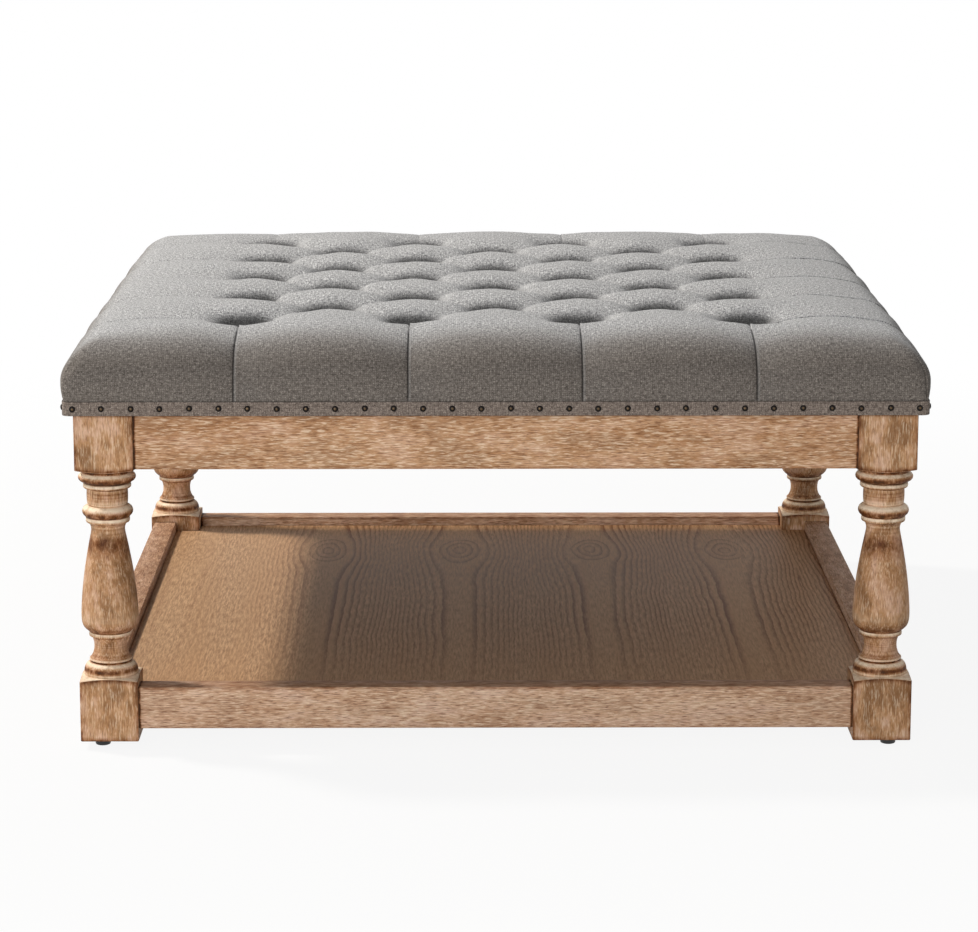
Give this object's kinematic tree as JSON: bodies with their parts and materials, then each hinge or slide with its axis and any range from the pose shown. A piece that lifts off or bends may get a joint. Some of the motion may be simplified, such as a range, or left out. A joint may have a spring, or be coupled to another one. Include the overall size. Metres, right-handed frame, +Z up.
{
  "type": "ottoman coffee table",
  "caption": "Square coffee table with a deep-buttoned upholstered top, turned oak legs, aprons and a low shelf let in between stretchers.",
  "frame": {"origin": "on the floor, under the middle of the table", "axes": "+Z up, +X to the right and the front looking along -Y"},
  "size_m": [0.914, 0.914, 0.443],
  "materials": {
    "washed_oak": "turned and planed oak with a pale wash left in the grooves",
    "oak_veneer": "crown-cut oak veneer, washed and matt lacquered",
    "pine": "planed softwood, unfinished",
    "plywood": "sanded plywood, unfinished",
    "foam": "cut polyurethane foam",
    "linen_cloth": "grey plain-woven linen-look upholstery cloth",
    "linen_band": "the same cloth folded into a flat band",
    "twine": "waxed tufting twine",
    "dust_cloth": "black spun-bonded cloth",
    "antique_nail": "dark antiqued domed nail heads",
    "steel": "zinc-plated steel",
    "glide_plastic": "moulded black plastic"
  },
  "bodies": {
    "root": {"turned_legs": "washed_oak", "floor_glides": "glide_plastic", "front_apron": "washed_oak", "right_apron": "washed_oak", "back_apron": "washed_oak", "left_apron": "washed_oak", "front_stretcher": "washed_oak", "right_stretcher": "washed_oak", "back_stretcher": "washed_oak", "left_stretcher": "washed_oak", "front_shelf_cleat": "pine", "right_shelf_cleat": "pine", "back_shelf_cleat": "pine", "left_shelf_cleat": "pine", "shelf_panel": "oak_veneer", "front_left_corner_block": "pine", "front_right_corner_block": "pine", "back_left_corner_block": "pine", "back_right_corner_block": "pine", "top_screws": "steel", "deck_board": "plywood", "foam_core": "foam", "tufted_cover": "linen_cloth", "tuft_buttons": "linen_cloth", "tuft_twines": "twine", "twine_washers": "steel", "dust_cover": "dust_cloth", "trim_band": "linen_band", "front_nails": "antique_nail", "right_nails": "antique_nail", "back_nails": "antique_nail", "left_nails": "antique_nail"}
  },
  "joints": []
}
